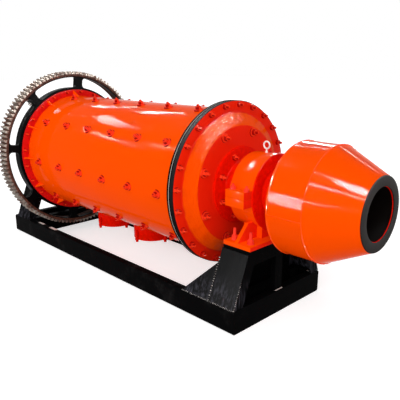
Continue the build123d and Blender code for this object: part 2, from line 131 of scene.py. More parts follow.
class MillColours(bpy.types.PropertyGroup):
    """Colours of the finishes."""

    side_orange: tone("Orange", "Enamel on the sides", (1.0, 0.076, 0.0))
    # Painted shade: a redder copy of the orange for the faces across the axis
    shaded_face_red: tone("Red", "Enamel on the faces across the axis", (0.94, 0.019, 0.003))
    deep_red: tone("Deep red", "Enamel on the trunnions, covers and ports", (0.82, 0.006, 0.0))
    # The bolts' outward faces, set against the painted shade of their sides
    bolt_bright: tone("Bolt tops", "Thin enamel on the bolts", (0.95, 0.045, 0.012))
    stud_red: tone("Studs", "Enamel on the studs of the bearings", (0.95, 0.05, 0.025))
    ring_red: tone("Ring", "Enamel on the flange beside the gear", (0.74, 0.009, 0.007))
    # Painted shade: the dark red of the bolts' sides
    bolt_shade_red: tone("Bolts", "Enamel on the bolts", (0.34, 0.003, 0.002))
    frame_black: tone("Black", "Enamel on the frame", (0.002, 0.002, 0.0022))
    dust: tone("Dust", "Dust on the frame", (0.02, 0.0185, 0.0185))
    # Brush smears, which also paint a sheen low on the legs
    smear: tone("Smears", "Brush smears on the frame", (0.07, 0.068, 0.085))
    rust: tone("Rust", "Rust on the gear rim", (0.12, 0.05, 0.033))
    bare_steel: tone("Steel", "Bare machined steel", (0.22, 0.195, 0.17))
    rubber: tone("Rubber", "Lining of the mouth", (0.009, 0.006, 0.005))
    plated: tone("Plating", "Lifting eyes", (0.88, 0.83, 0.78))


# Shader maths


class Wire:
    """A socket that takes part in Python expressions by adding Math nodes."""

    def __init__(self, paint, socket):
        self.paint = paint
        self.socket = socket

    def maths(self, operation, first, second):
        return self.paint.add("Math", {"operation": operation}, {0: first, 1: second})

    def __add__(self, other):
        return self.maths("ADD", self, other)

    __radd__ = __add__

    def __mul__(self, other):
        return self.maths("MULTIPLY", self, other)

    __rmul__ = __mul__

    def __sub__(self, other):
        return self.maths("SUBTRACT", self, other)

    def __truediv__(self, other):
        return self.maths("DIVIDE", self, other)

    def __rsub__(self, other):
        return self.maths("SUBTRACT", other, self)

    def __pow__(self, other):
        return self.maths("POWER", self, other)

    def __abs__(self):
        return self.maths("ABSOLUTE", self, 0.0)


class Paint:
    """The nodes of a material or world, and the one way of adding to them."""

    def __init__(self, name, kind="materials", shader="Principled BSDF"):
        self.colours = bpy.context.scene.mill_colours
        self.owner = getattr(bpy.data, kind).new(name)
        self.owner.use_nodes = True
        self.tree = self.owner.node_tree
        self.shader = self.tree.nodes[shader]

    def add(self, kind, settings=None, inputs=None, output=0):
        """Add a node, set it, then fill its sockets with values or wires."""
        node = self.tree.nodes.new("ShaderNode" + kind)
        for name, value in (settings or {}).items():
            setattr(node, name, value)
        for name, value in (inputs or {}).items():
            self.put(node.inputs[name], value)
        return Wire(self, node.outputs[output])

    def put(self, socket, value):
        if isinstance(value, Wire):
            self.tree.links.new(value.socket, socket)
        else:
            socket.default_value = value

    def finish(self, **values):
        """Set the shader's own sockets, with underscores for spaces."""
        for name, value in values.items():
            self.put(self.shader.inputs[name.replace("_", " ").title().replace("Ior", "IOR")], value)
        return self.owner

    def parts(self, vector):
        """The three parts of a vector."""
        node = self.add("SeparateXYZ", None, {0: vector}).socket.node
        return [Wire(self, output) for output in node.outputs]

    def watched(self):
        """1 for rays from the camera, or off or through a smooth surface, and 0 for others."""
        path = self.add("LightPath").socket.node
        kinds = ("Is Camera Ray", "Is Glossy Ray", "Is Transmission Ray")
        camera, glossy, through = (Wire(self, path.outputs[kind]) for kind in kinds)
        return camera.maths("MINIMUM", camera + glossy + through, 1.0)

    def place(self):
        """Position on the object, in metres."""
        return self.add("TexCoord", output="Object")

    def axes(self):
        """The position's three parts, with the height measured from the mill axis."""
        across, along, height = self.parts(self.place())
        return across, along, height - mill_height

    def reach(self):
        """Distance from the mill axis."""
        along, height = self.axes()[1:]
        return (along * along + height * height) ** 0.5

    def near(self, middle, size, edge):
        """1 within a block of the given middle and size, with an edge frayed by noise."""
        away = self.add("VectorMath", {"operation": "SUBTRACT"}, {0: self.place(), 1: middle})
        share = self.add("VectorMath", {"operation": "DIVIDE"}, {0: away, 1: size})
        first, second, third = (abs(part) for part in self.parts(share))
        furthest = first.maths("MAXIMUM", first.maths("MAXIMUM", first, second), third)
        return 1.0 - self.ease(furthest + 0.4 * (edge - 0.5), 0.42, 0.5)

    def noise(self, where, scale, detail, rough):
        inputs = {"Vector": where, "Scale": scale, "Detail": detail, "Roughness": rough}
        return self.add("TexNoise", None, inputs)

    def cloud(self, scale, detail=3.0, rough=0.55, stretch=(1.0, 1.0, 1.0)):
        """Noise between 0 and 1, with scale in waves per metre."""
        where = self.add("VectorMath", {"operation": "MULTIPLY"}, {0: self.place(), 1: stretch})
        return self.noise(where, scale, detail, rough)

    def ripples(self, scale, detail, rough):
        """Noise drawn out round the mill axis, with scale in waves per metre of reach."""
        across, along, height = self.axes()
        turn = along.maths("ARCTAN2", along, height)
        where = self.add("CombineXYZ", None, {0: self.reach(), 1: turn * 0.1, 2: across})
        return self.noise(where, scale, detail, rough)

    def ease(self, value, low, high):
        """0 below low and 1 above high, eased between."""
        inputs = {0: value, 1: low, 2: high}
        return self.add("MapRange", {"interpolation_type": "SMOOTHSTEP"}, inputs)

    def tint(self, mask, first, second):
        """Colour that goes from first to second as mask goes from 0 to 1."""
        inputs = {0: mask, 6: colour(first), 7: colour(second)}
        return self.add("Mix", {"data_type": "RGBA"}, inputs, output=2)

    def bump(self, height, distance=1.0):
        return self.add("Bump", None, {"Height": height, "Distance": distance, "Strength": 1.0})


def colour(value):
    """A colour property with its alpha, or a wire as it is."""
    return value if isinstance(value, Wire) else (*value[:3], 1.0)


def scaled(value, factor):
    return tuple(part * factor for part in value[:3])


# Finishes


def orange_coat(paint):
    """Colour of the gloss enamel: orange on the sides, and on the faces across the axis a redder copy that
    paints shade.
    """
    colours = paint.colours
    ahead = paint.parts(paint.add("TexCoord", output="Normal"))[0]
    # Painted shade: faces across the axis get the redder copy, chosen by the direction they face
    across = paint.ease(abs(ahead), 0.86, 0.97)
    thin_and_lit = paint.cloud(2.3, 4.0)
    side = paint.tint(thin_and_lit, scaled(colours.side_orange, 0.94), colours.side_orange)
    face = paint.tint(thin_and_lit, scaled(colours.shaded_face_red, 0.88), colours.shaded_face_red)
    grime = paint.ease(paint.cloud(7.0, 6.0, 0.7), 0.62, 0.80)
    return paint.tint(grime * 0.2, paint.tint(across, side, face), scaled(colours.shaded_face_red, 0.5))


def orange_enamel(name, lumps=0.0, waves=0.0, dents=0.0, gloss=0.01, black_from=None, lumps_over=None):
    """Gloss enamel, poured thick; beyond black_from, its reach from the axis, it is black.

    The lumps of a casting can be kept to the band of reaches in lumps_over.
    """
    paint = Paint(name)
    colours = paint.colours
    coat = orange_coat(paint)
    rough = (0.015 if lumps_over else 0.045) + 0.06 * paint.cloud(6.0, 4.0)
    if black_from:
        drips = 0.0015 * (paint.cloud(30.0) - 0.5)
        black = paint.ease(paint.reach() + drips, black_from - 0.001, black_from)
        coat = paint.tint(black, coat, colours.frame_black)
        rough = rough + black * 0.6
    height = paint.cloud(260.0, 2.0) * 0.00003
    if waves:
        height = height + paint.cloud(2.4, 2.0, 0.5, (0.5, 1.6, 1.6)) * waves
    if dents:
        height = height + paint.cloud(9.0, 2.0, 0.5) * dents
    if lumps:
        skin = paint.ripples(62.0, 3.0, 0.6) * lumps
        if lumps_over:
            reach, fade = paint.reach(), 0.004
            inner, outer = (paint.ease(reach, edge - fade, edge + fade) for edge in lumps_over)
            skin = skin * inner * (1.0 - outer)
        height = height + skin
    return paint.finish(
        base_color=coat,
        roughness=rough,
        specular_ior_level=gloss,
        normal=paint.bump(height),
    )


def red_enamel(name, red):
    """The same enamel in one red with a random tone, as on bolts and journals."""
    paint = Paint(name)
    pooled = paint.cloud(40.0, 4.0)
    return paint.finish(
        base_color=paint.tint(pooled, scaled(red, 0.7), scaled(red, 1.25)),
        roughness=0.12 + 0.1 * pooled,
        specular_ior_level=0.01,
        normal=paint.bump(paint.cloud(150.0), 0.0004),
    )


def bolt_enamel(name):
    """Enamel on the bolts: bright where they face out, and dark on their sides, which is painted shade."""
    paint = Paint(name)
    colours = paint.colours
    ahead, aside, up = paint.parts(paint.add("TexCoord", output="Normal"))
    along, height = paint.axes()[1:]
    outward = (aside * along + up * height) / paint.reach()
    pooled = paint.cloud(70.0, 4.0)
    # Painted shade: faces that point out from the axis or along it keep the bright colour, the sides are
    # painted dark red
    thin_and_lit = paint.ease(outward + 0.3 * (pooled - 0.5), 0.45, 0.9)
    thin_and_lit = thin_and_lit.maths("MAXIMUM", thin_and_lit, paint.ease(abs(ahead), 0.6, 0.95))
    return paint.finish(
        base_color=paint.tint(thin_and_lit, colours.bolt_shade_red, colours.bolt_bright),
        roughness=0.1 + 0.1 * pooled,
        specular_ior_level=0.004,
        normal=paint.bump(paint.cloud(150.0), 0.0004),
    )


def black_enamel(
    name, brushed=(1.0, 1.0, 1.0), gloss=0.26, dusty=1.0, smears=0.0, smears_under=1.0, bare=(),
    shine=0.003,
):
    """Black enamel brushed over steel, with dust, smears low down that also paint a sheen, and off at the
    bare places; on the flange the bare line is a painted highlight.
    """
    paint = Paint(name)
    colours = paint.colours
    dust = paint.ease(paint.cloud(5.0, 6.0, 0.65), 0.5, 0.78)
    coat = paint.tint(dust * 0.5 * dusty, colours.frame_black, colours.dust)
    strokes = paint.cloud(60.0, 3.0, 0.6, brushed)
    if smears:
        # Painted sheen: pale bluish smears along the brush strokes, strongest low down and fading out with
        # height
        low = 1.0 - paint.ease(paint.axes()[2] + mill_height, 0.15, smears_under)
        coat = paint.tint(paint.ease(strokes, 0.40, 0.75) * low * smears, coat, colours.smear)
    edge = paint.cloud(90.0, 4.0, 0.7)
    rough = gloss + 0.2 * dust + 0.15 * strokes
    # Pale where the paint is off; the flange's thin pale line is a painted highlight
    for middle, size in bare:
        bare_and_highlight = paint.near(middle, size, edge)
        coat = paint.tint(bare_and_highlight, coat, scaled(colours.plated, 0.8))
        rough = rough + bare_and_highlight * 0.1
    height = strokes * 0.0006 + paint.cloud(5.0, 3.0) * 0.002
    return paint.finish(
        base_color=coat,
        roughness=rough,
        specular_ior_level=shine,
        normal=paint.bump(height),
    )


def weld_metal(name):
    """Weld beads: black enamel with pale spots that are painted glints."""
    paint = Paint(name)
    colours = paint.colours
    # Painted glints: pale spots scattered over the beads by noise
    wear_and_glints = paint.ease(paint.cloud(130.0, 4.0, 0.7), 0.45, 0.6)
    return paint.finish(
        base_color=paint.tint(wear_and_glints, colours.frame_black, scaled(colours.plated, 0.8)),
        roughness=0.3 + 0.2 * wear_and_glints,
        specular_ior_level=0.02,
        normal=paint.bump(wear_and_glints, 0.0004),
    )


def gear_iron(name, rim_radius, root_radius):
    """Cast iron: a black web, a rusty rim and machined teeth."""
    paint = Paint(name)
    colours = paint.colours
    reach = paint.reach()
    blotch = paint.cloud(38.0, 5.0, 0.7)
    rust = paint.tint(paint.ease(blotch, 0.35, 0.7), scaled(colours.rust, 0.4), scaled(colours.rust, 1.3))
    teeth = paint.ease(reach + 0.012 * (paint.cloud(24.0) - 0.5), root_radius, root_radius + 0.008)
    wear_and_glints = paint.ease(paint.cloud(16.0, 5.0, 0.7), 0.30, 0.58)
    metal = paint.tint(wear_and_glints, rust, colours.bare_steel)
    coat = paint.tint(teeth, rust, metal)
    web = 1.0 - paint.ease(reach + 0.004 * (blotch - 0.5), rim_radius - 0.004, rim_radius + 0.002)
    coat = paint.tint(web, coat, colours.frame_black)
    return paint.finish(
        base_color=coat,
        metallic=teeth * wear_and_glints * 0.2,
        roughness=0.62 - 0.3 * web - 0.14 * teeth,
        specular_ior_level=0.01,
        normal=paint.bump(blotch * (1.0 - web) * 0.0012 + paint.cloud(6.0) * 0.001),
    )


def mouth_lining(name):
    """Matt black lining, brownish with dust."""
    paint = Paint(name)
    colours = paint.colours
    dust = paint.cloud(14.0, 5.0, 0.65)
    return paint.finish(
        base_color=paint.tint(dust, scaled(colours.rubber, 0.8), scaled(colours.rubber, 1.3)),
        roughness=0.6 + 0.15 * dust,
        specular_ior_level=0.02,
        normal=paint.bump(paint.cloud(90.0, 4.0), 0.0008),
    )


def plated_eye(name):
    """Pale plated steel with dull spots."""
    paint = Paint(name)
    colours = paint.colours
    spots = paint.ease(paint.cloud(120.0, 4.0), 0.5, 0.72)
    return paint.finish(
        base_color=paint.tint(spots * 0.5, colours.plated, scaled(colours.plated, 0.55)),
        roughness=0.3 + 0.2 * spots,
        specular_ior_level=0.05,
    )


def bare_steel(name):
    """Steel where the paint has come off, grey with a film of rust."""
    paint = Paint(name)
    colours = paint.colours
    film = paint.cloud(60.0, 5.0, 0.65)
    return paint.finish(
        base_color=paint.tint(film, scaled(colours.plated, 0.75), scaled(colours.plated, 0.4)),
        roughness=0.35 + 0.25 * film,
        metallic=0.2,
        normal=paint.bump(film, 0.0006),
    )


def finish_of(name, make, *values, **words):
    """A finish by its name, made the first time that it is asked for."""
    return bpy.data.materials.get(name) or make(name, *values, **words)


def deep_red():
    """The deep red enamel of the trunnions, covers and ports."""
    return finish_of("journal_enamel", red_enamel, bpy.context.scene.mill_colours.deep_red)


# Shaping


def settle(name, bm, material, replaces=(), body="mill", crisp=None):
    """Turn a bmesh into a smooth piece on its body, standing for the CAD nodes it replaces."""
    for edge in bm.edges:
        edge.smooth = len(edge.link_faces) == 2 and edge.calc_face_angle(pi) < smooth_under
        if crisp and all(crisp(vert.co) for vert in edge.verts):
            edge.smooth = False
    for face in bm.faces:
        face.smooth = True
    mesh = bpy.data.meshes.new(name)
    bm.to_mesh(mesh)
    bm.free()
    mesh.materials.append(material)
    piece = bpy.data.objects.new(name, mesh)
    bpy.context.collection.objects.link(piece)
    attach(piece, body)
    if replaces:
        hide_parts(*replaces)


def join(parts):
    """One bmesh that holds the meshes of several."""
    whole = bmesh.new()
    for part in parts:
        mesh = bpy.data.meshes.new("joined")
        part.to_mesh(mesh)
        part.free()
        whole.from_mesh(mesh)
        bpy.data.meshes.remove(mesh)
    return whole


def soften(bm, width):
    """Bevel the sharp edges."""
    crisp = [e for e in bm.edges if len(e.link_faces) == 2 and e.calc_face_angle(0.0) > soften_over]
    bmesh.ops.bevel(
        bm, geom=crisp, offset=width, segments=2, profile=0.5, affect="EDGES",
        material=-1, clamp_overlap=True,
    )


def spin(bm, axis, steps):
    """Sweep everything in a bmesh once round an axis through the origin."""
    bmesh.ops.spin(
        bm, geom=bm.verts[:] + bm.edges[:], cent=(0, 0, 0), axis=axis, angle=tau, steps=steps,
        use_merge=True,
    )
    bmesh.ops.remove_doubles(bm, verts=bm.verts, dist=1e-6)


def lathe(profile, steps=160, rounding=0.003, cuts=0):
    """Turn a closed outline of (x, radius) points once round the mill axis."""
    bm = bmesh.new()
    corners = [bm.verts.new((x, 0.0, radius)) for x, radius in profile]
    edges = [bm.edges.new(pair) for pair in zip(corners, corners[1:] + corners[:1])]
    if cuts:
        bmesh.ops.subdivide_edges(bm, edges=edges, cuts=cuts)
    spin(bm, (1, 0, 0), steps)
    bmesh.ops.recalc_face_normals(bm, faces=bm.faces)
    if rounding:
        soften(bm, rounding)
    bmesh.ops.translate(bm, vec=(0, 0, mill_height), verts=bm.verts)
    return bm


def band(back, front, outer, inner):
    """Outline of a plain ring."""
    return [(back, outer), (front, outer), (front, inner), (back, inner)]


def crumple(bm, depth, scale, within):
    """Push the vertices within a region in along their normals by noise."""
    bm.normal_update()
    for vert in bm.verts:
        if within(vert.co):
            lump = 0.5 + 0.5 * noise.noise(Vector(vert.co) * scale)
            vert.co -= vert.normal * depth * lump


def copy_of(node, rounding):
    """The CAD node's own shape as a merged bmesh, with its sharp edges rounded."""
    bm = bmesh.new()
    bm.from_mesh(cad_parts[node].data)
    bmesh.ops.remove_doubles(bm, verts=bm.verts, dist=1e-5)
    bmesh.ops.dissolve_limit(bm, angle_limit=radians(0.5), verts=bm.verts, edges=bm.edges)
    soften(bm, rounding)
    return bm


def on_mill(x, reach, turn, lean=0.0):
    """Matrix at a reach from the mill axis, turned from the top to the near side, local Z outward."""
    return (
        Matrix.Translation((x, 0, mill_height))
        @ Matrix.Rotation(turn, 4, "X")
        @ Matrix.Translation((0, 0, reach))
        @ Matrix.Rotation(lean, 4, "Y")
    )


def rod(bm, low, high, radius, sides, taper=1.0):
    """Add a rod that stands on local Z from low to high."""
    bmesh.ops.create_cone(
        bm, cap_ends=True, segments=sides, radius1=radius, radius2=radius * taper, depth=high - low,
        matrix=Matrix.Translation((0, 0, (low + high) / 2)),
    )


def stud(washer, nut, tip, sides=14):
    """Washer, hexagon nut and stud end, each a radius and a height, standing on local Z."""
    bm = bmesh.new()
    foot = 0.0
    if washer:
        radius, foot = washer
        rod(bm, 0.0, foot, radius, sides, 0.93)
    radius, height = nut
    rod(bm, foot, foot + height, radius, 6)
    top = [e for e in bm.edges if all(v.co.z > foot + height * 0.9 for v in e.verts)]
    bmesh.ops.bevel(
        bm, geom=top, offset=radius * 0.16, segments=1, profile=0.5, affect="EDGES", material=-1,
    )
    foot += height
    radius, height = tip
    rod(bm, foot, foot + height, radius, 10, 0.8)
    return bm


def repeat(small, places):
    """Copies of a small mesh, one at each matrix."""
    mesh = bpy.data.meshes.new("repeated")
    small.to_mesh(mesh)
    small.free()
    whole = bmesh.new()
    for place in places:
        known = len(whole.verts)
        whole.from_mesh(mesh)
        whole.verts.ensure_lookup_table()
        bmesh.ops.transform(whole, matrix=place, verts=whole.verts[known:])
    bpy.data.meshes.remove(mesh)
    return whole


def weld(route, radius, pitch=0.9):
    """A run of overlapping beads along a route of points, like a stick weld."""
    bm = bmesh.new()
    for start, end in zip(route, route[1:]):
        run = end - start
        beads = max(1, round(run.length / (radius * pitch)))
        face = run.to_track_quat("X", "Z").to_matrix().to_4x4()
        for bead in range(beads):
            where = start + run * ((bead + 0.5) / beads)
            swell = 1.0 + 0.25 * noise.noise(where * 90.0)
            shape = Matrix.Diagonal((0.75, swell, swell, 1.0))
            bmesh.ops.create_icosphere(
                bm, subdivisions=1, radius=radius, matrix=Matrix.Translation(where) @ face @ shape,
            )
    return bm


def weld_round(x, reach, radius):
    """A weld once round the mill axis."""
    route = [on_mill(x, reach, tau * k / 96).to_translation() for k in range(97)]
    return weld(route, radius)


def lifting_ring(node):
    """A forged ring on a short collar, as high and as wide as the CAD node."""
    low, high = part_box(node)
    middle, outside = (low + high) / 2, (high.x - low.x) / 2
    wire = bpy.context.scene.mill_sizes.eye_wire
    bm = bmesh.new()
    bmesh.ops.create_circle(bm, segments=14, radius=wire, matrix=Matrix.Translation((outside - wire, 0, 0)))
    spin(bm, (0, 1, 0), 40)
    bmesh.ops.translate(bm, vec=(0, 0, high.z - outside), verts=bm.verts)
    stem = high.z - 2 * outside - low.z
    rod(bm, low.z, low.z + stem + wire, wire * 0.9, 18)
    rod(bm, low.z, low.z + stem * 0.5, wire * 1.7, 18)
    bmesh.ops.translate(bm, vec=(middle.x, middle.y, 0), verts=bm.verts)
    bmesh.ops.recalc_face_normals(bm, faces=bm.faces)
    return bm


def turns(count, first):
    """Turns spread evenly round the mill axis."""
    return [first + tau * k / count for k in range(count)]


# Pieces


class MILL_OT_shell(bpy.types.Operator):
    """Shell tube with rolled-sheet waves and its seam welds"""

    bl_idname = "ball_mill.shell"
    bl_label = "Shell"

    def execute(self, context):
        sizes = context.scene.mill_sizes
        enamel = finish_of("shell_enamel", orange_enamel, waves=0.010, dents=0.0006, gloss=0.006)
        wall = band(shell_low.x, shell_high.x, shell_radius, shell_radius - sizes.shell_wall)
        bm = lathe(wall, steps=192, rounding=0.0, cuts=5)
        settle("shell_tube", bm, enamel, ["shell"])
        rims = (shell_low.x + 0.004, shell_high.x - 0.004)
        seams = join([weld_round(rim, shell_radius, sizes.weld_radius) for rim in rims])
        settle("shell_seams", seams, enamel)
        rough = finish_of("casting_enamel", orange_enamel, dents=0.001, lumps=0.0005)
        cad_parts["shell_gussets"].data.materials[0] = rough
        return {"FINISHED"}


class MILL_OT_flanges(bpy.types.Operator):
    """The shell's two end flanges"""

    bl_idname = "ball_mill.flanges"
    bl_label = "Flanges"

    def execute(self, context):
        sizes = context.scene.mill_sizes
        low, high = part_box("feed_flange")
        # A thin pale line round the black flange, given as a bare place, is a painted highlight
        seam = [((low.x * 0.35 + high.x * 0.65, 0.0, mill_height), (0.0028, 2.0, 2.0))]
        black = finish_of("flange_enamel", black_enamel, gloss=0.16, dusty=0.1, bare=seam, shine=0.0006)
        red = finish_of("ring_enamel", red_enamel, context.scene.mill_colours.ring_red)
        for node, finish, slot in (
            ("feed_flange", black, "flange_black"),
            ("gear_flange", red, "shell_orange"),
        ):
            low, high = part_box(node)
            ring = band(low.x, high.x, outer_radius(node), shell_radius - sizes.shell_wall)
            bm = lathe(ring, steps=192, rounding=sizes.edge_break)
            settle(node + "_ring", bm, finish, [node])
        return {"FINISHED"}


class MILL_OT_heads(bpy.types.Operator):
    """Head castings, lumpy on the slope between the bolting ring and the face"""

    bl_idname = "ball_mill.heads"
    bl_label = "Heads"

    def execute(self, context):
        sizes = context.scene.mill_sizes
        for node, way in (("feed_head", 1), ("discharge_head", -1)):
            radius = outer_radius(node)
            step, face = sizes.head_step_radius, sizes.head_face_radius
            enamel = orange_enamel(
                node + "_enamel", lumps=0.0042, dents=0.0006, gloss=0.012,
                black_from=radius - 0.003 if way > 0 else None, lumps_over=(face, step),
            )
            back, front = ends(node, way)
            ring = back + way * sizes.head_flange_thickness
            inside = front - way * sizes.head_wall
            foot, brow = Vector((ring + way * 0.004, step)), Vector((front - way * 0.005, face + 0.006))
            bm = lathe(
                [
                    (back, radius),
                    (ring, radius),
                    (ring, step + 0.006),
                    *(foot.lerp(brow, part / sizes.slope_rows) for part in range(sizes.slope_rows + 1)),
                    (front - way * 0.001, face - 0.002),
                    (front, face - 0.012),
                    (front, sizes.head_opening_radius),
                    (inside, sizes.head_opening_radius),
                    (inside, face - sizes.head_wall / 2),
                    (back, step - sizes.head_wall),
                ],
                steps=400, rounding=sizes.edge_break,
            )

            def on_slope(spot):
                return face < (spot - Vector((spot.x, 0, mill_height))).length < step + 0.001

            crumple(bm, sizes.cast_lump, 15.0, on_slope)
            crumple(bm, sizes.cast_lump, 42.0, on_slope)
            settle(node + "_casting", bm, enamel, [node])
        return {"FINISHED"}


class MILL_OT_trunnions(bpy.types.Operator):
    """Hollow trunnions with a filleted flange, and the lip of the discharge"""

    bl_idname = "ball_mill.trunnions"
    bl_label = "Trunnions"

    def execute(self, context):
        sizes = context.scene.mill_sizes
        enamel = deep_red()
        for node, way in (("feed_trunnion", 1), ("discharge_trunnion", -1)):
            root, end = ends(node, way)
            face = root + way * sizes.trunnion_flange_thickness
            journal = sizes.journal_radius
            bm = lathe(
                [
                    (root, sizes.bore_radius),
                    (root, outer_radius(node)),
                    (face, outer_radius(node)),
                    (face, journal + 0.014),
                    (face + way * 0.004, journal + 0.004),
                    (face + way * 0.014, journal),
                    (end, journal),
                    (end, sizes.bore_radius),
                ],
                steps=144, rounding=sizes.edge_break,
            )
            settle(node + "_casting", bm, enamel, [node])
        low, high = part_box("discharge_lip")
        lip = band(low.x, high.x, outer_radius("discharge_lip"), sizes.journal_radius)
        lining = finish_of("mouth_lining", mouth_lining)
        bm = lathe(lip, steps=128)
        settle("discharge_lip_ring", bm, lining, ["discharge_lip"])
        return {"FINISHED"}


class MILL_OT_feeder(bpy.types.Operator):
    """Drum feeder of rolled sheet with its seams, and the lined mouth"""

    bl_idname = "ball_mill.feeder"
    bl_label = "Drum feeder"

    def execute(self, context):
        sizes = context.scene.mill_sizes
        enamel = finish_of("feeder_enamel", orange_enamel, waves=0.008, dents=0.0016)
        red = deep_red()
        back_low, back_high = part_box("feeder_back")
        drum_low, drum_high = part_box("feeder_drum")
        cone_low, cone_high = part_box("feeder_cone")
        mouth_low, mouth_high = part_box("feeder_mouth")
        radius = outer_radius("feeder_drum")
        wall, skin = sizes.sheet_wall, sizes.lining
        bore, weld_size = sizes.mouth_bore_radius, sizes.weld_radius

        def between(back, front):
            return lambda spot: back + 0.01 < spot.x < front - 0.01

        mouth_back = outer_radius("feeder_mouth")
        slope = (radius - mouth_back) / (cone_high.x - cone_low.x)
        mouth_front = mouth_back - slope * (mouth_high.x - mouth_low.x)
        bm = lathe(band(back_low.x, back_high.x, radius, sizes.bore_radius), rounding=0.0015)
        settle("feeder_back_plate", bm, enamel, ["feeder_back"])
        drum = band(drum_low.x, drum_high.x, radius, radius - wall)
        bm = lathe(drum, steps=192, rounding=0.0, cuts=6)
        crumple(bm, sizes.sheet_wave, 5.0, between(drum_low.x, drum_high.x))
        settle("feeder_drum_sheet", bm, enamel, ["feeder_drum"])
        cone = [
            (cone_low.x, radius),
            (cone_high.x, mouth_back),
            (cone_high.x, mouth_back - wall),
            (cone_low.x, radius - wall),
        ]
        bm = lathe(cone, steps=192, rounding=0.0, cuts=6)
        crumple(bm, sizes.sheet_wave, 5.0, between(cone_low.x, cone_high.x))
        settle("feeder_cone_sheet", bm, enamel, ["feeder_cone"])
        mouth = [
            (mouth_low.x, bore),
            (mouth_low.x, mouth_back),
            (mouth_high.x, mouth_front),
            (mouth_high.x, bore),
        ]
        bm = lathe(mouth, steps=144, rounding=0.0012)
        lining = finish_of("mouth_lining", mouth_lining)
        settle("feeder_mouth_ring", bm, lining, ["feeder_mouth"])
        inside = [
            (mouth_low.x, bore),
            (mouth_low.x, mouth_back - wall),
            (cone_low.x, radius - wall),
            (back_high.x, radius - wall),
            (back_high.x, sizes.bore_radius),
        ]
        inner = [
            (back_high.x + skin, sizes.bore_radius),
            (back_high.x + skin, radius - wall - skin),
            (cone_low.x - skin / 2, radius - wall - skin),
            (mouth_low.x - skin, mouth_back - wall - skin),
            (mouth_low.x - skin, bore),
        ]
        settle("feeder_lining", lathe(inside + inner, rounding=0.0), lining)
        bead = band(mouth_low.x - 0.005, mouth_low.x - 0.001, bore + 0.001, bore - 0.002)
        settle("feeder_mouth_bead", lathe(bead, steps=96, rounding=0.0), red)
        seam_turn = radians(95.7)
        along = [on_mill(x, radius, seam_turn).to_translation() for x in (drum_low.x, drum_high.x)]
        rounds = [weld_round(x, radius - 0.001, weld_size) for x in (drum_high.x, back_high.x)]
        seams = join([weld(along, weld_size), *rounds])
        pale = finish_of("seam_enamel", orange_enamel, lumps=0.0006, gloss=0.1)
        settle("feeder_seams", seams, pale)
        return {"FINISHED"}


class MILL_OT_gear(bpy.types.Operator):
    """Girth gear finish and the bolts across its joint"""

    bl_idname = "ball_mill.gear"
    bl_label = "Girth gear"

    def execute(self, context):
        sizes = context.scene.mill_sizes
        iron = finish_of("gear_paint", gear_iron, sizes.gear_rim_radius, sizes.gear_root_radius)
        for node in ("gear_upper_half", "gear_lower_half"):
            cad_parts[node].data.materials[0] = iron
        steel = finish_of("bare_steel", bare_steel)
        low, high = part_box("gear_upper_half")
        middle = low.x + (high.x - low.x) * 0.35
        half = sizes.joint_width / 2
        reaches = (0.548, 0.595)
        places = [
            on_mill(middle, reach, turn + way * half / reach) @ Matrix.Rotation(way * pi / 2, 4, "X")
            for turn in (sizes.joint_turn, sizes.joint_turn + pi)
            for reach in reaches
            for way in (-1, 1)
        ]
        small = stud((0.017, 0.004), (0.014, 0.014), (0.008, 0.016))
        settle("gear_joint_bolts", repeat(small, places), steel)
        return {"FINISHED"}


class MILL_OT_ports(bpy.types.Operator):
    """Ports under the shell, with stiffening ribs and a clamp bolt"""

    bl_idname = "ball_mill.ports"
    bl_label = "Ports"

    def execute(self, context):
        enamel = deep_red()
        # Bottom, top and radius of a clamp's rod, head and nut, then bottom and top of its lugs
        rounds = ((-0.016, 0.074, 0.006), (-0.014, -0.001, 0.011), (0.052, 0.064, 0.011))
        lugs = ((0.0, 0.012), (0.040, 0.052))
        clamps = []
        for port in ("port_1", "port_2"):
            for piece in ("_neck", "_lid"):
                settle(port + piece + "_shape", copy_of(port + piece, 0.002), enamel, [port + piece])
            lid_low, lid_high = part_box(port + "_lid")
            middle = (lid_low + lid_high) / 2
            reach = (lid_high.x - lid_low.x) / 2
            knob = stud((0.02, 0.007), (0.016, 0.016), (0.009, 0.012))
            clamps.append(repeat(knob, [on_mill(middle.x, mill_height - lid_low.z, pi)]))
            for turn in turns(4, 0.0):
                away = Matrix.Translation((middle.x, 0, lid_low.z)) @ Matrix.Rotation(turn, 4, "Z")
                clamp = bmesh.new()
                for low, high, radius in rounds:
                    rod(clamp, low, high, radius, 10)
                for low, high in lugs:
                    size = Matrix.Diagonal((0.03, 0.026, high - low, 1.0))
                    block = Matrix.Translation((-0.005, 0, (low + high) / 2)) @ size
                    bmesh.ops.create_cube(clamp, size=1.0, matrix=block)
                clamps.append(repeat(clamp, [away @ Matrix.Translation((reach + 0.009, 0, 0))]))
        settle("port_clamps", join(clamps), enamel)
        return {"FINISHED"}


